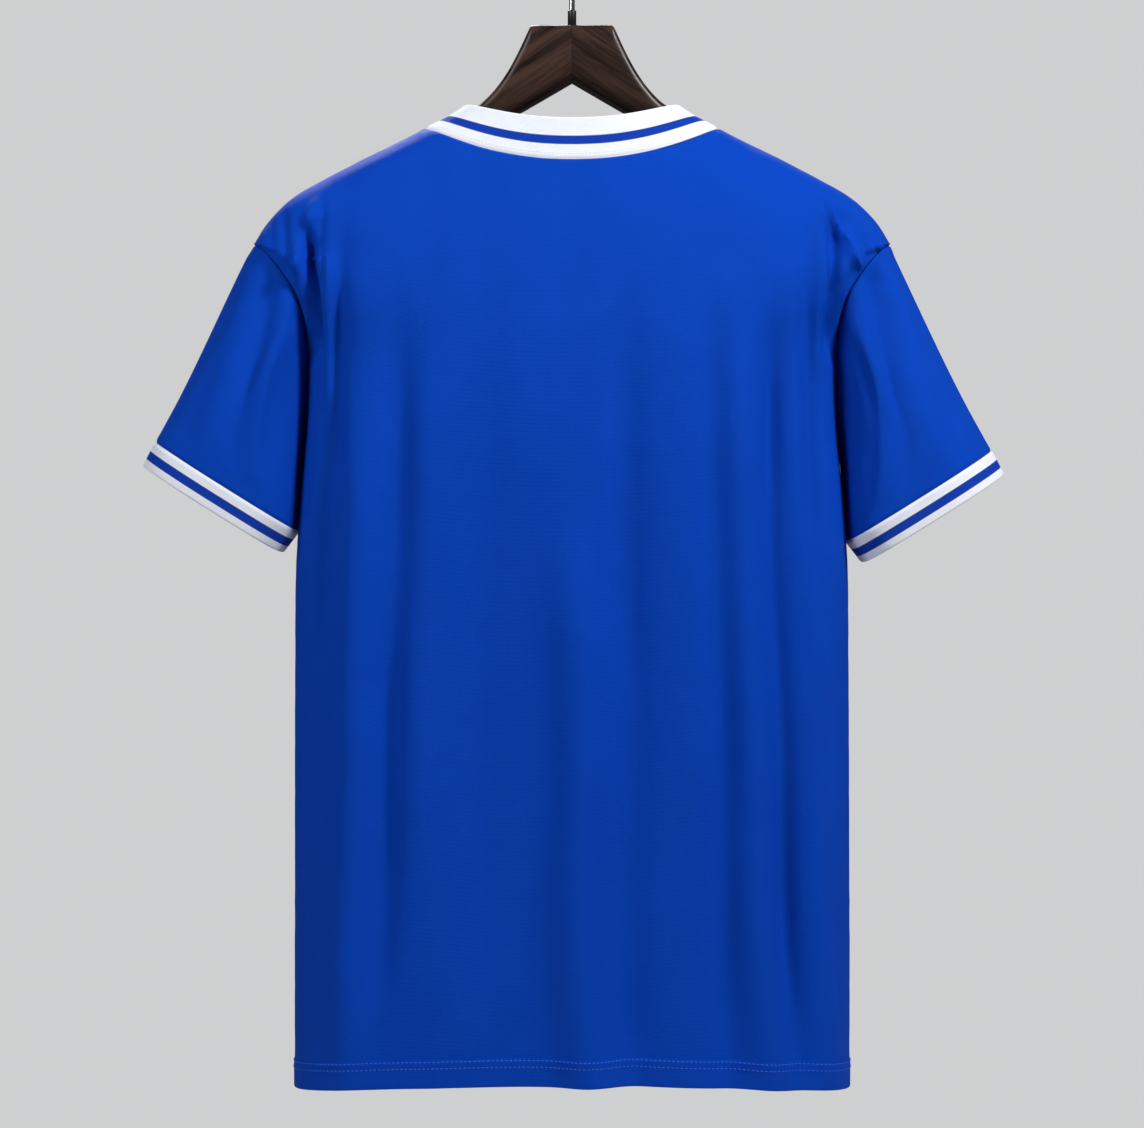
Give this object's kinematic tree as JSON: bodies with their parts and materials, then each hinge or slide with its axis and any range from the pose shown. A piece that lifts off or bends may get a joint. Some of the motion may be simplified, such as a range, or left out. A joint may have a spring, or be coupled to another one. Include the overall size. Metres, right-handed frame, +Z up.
{
  "type": "football jersey on a wooden hanger",
  "caption": "Short-sleeved football jersey of smooth blue knit with striped rib collar and cuffs, hung on a dark wooden hanger with a wire hook.",
  "frame": {"origin": "inside the top of the hook, where a rail carries the hanger", "axes": "+Z up; the wearer's front faces -Y, so the back faces +Y; the wearer's left side is +X"},
  "size_m": [0.6419, 0.1505, 0.8692],
  "materials": {
    "jersey_cloth": "fine polyester knit, slightly shiny, royal blue",
    "striped_rib": "fine rib knit, white with a royal blue stripe",
    "dark_wood": "dark stained wood under satin lacquer",
    "black_ferrule": "black satin",
    "hook_wire": "polished plated wire"
  },
  "bodies": {
    "root": {"back_panel": "jersey_cloth", "front_panel": "jersey_cloth", "sleeve_left": "jersey_cloth", "sleeve_right": "jersey_cloth", "cuff_left": "striped_rib", "cuff_right": "striped_rib", "collar": "striped_rib", "hanger_wood": "dark_wood", "hanger_ferrule": "black_ferrule", "hanger_hook": "hook_wire"}
  },
  "joints": []
}
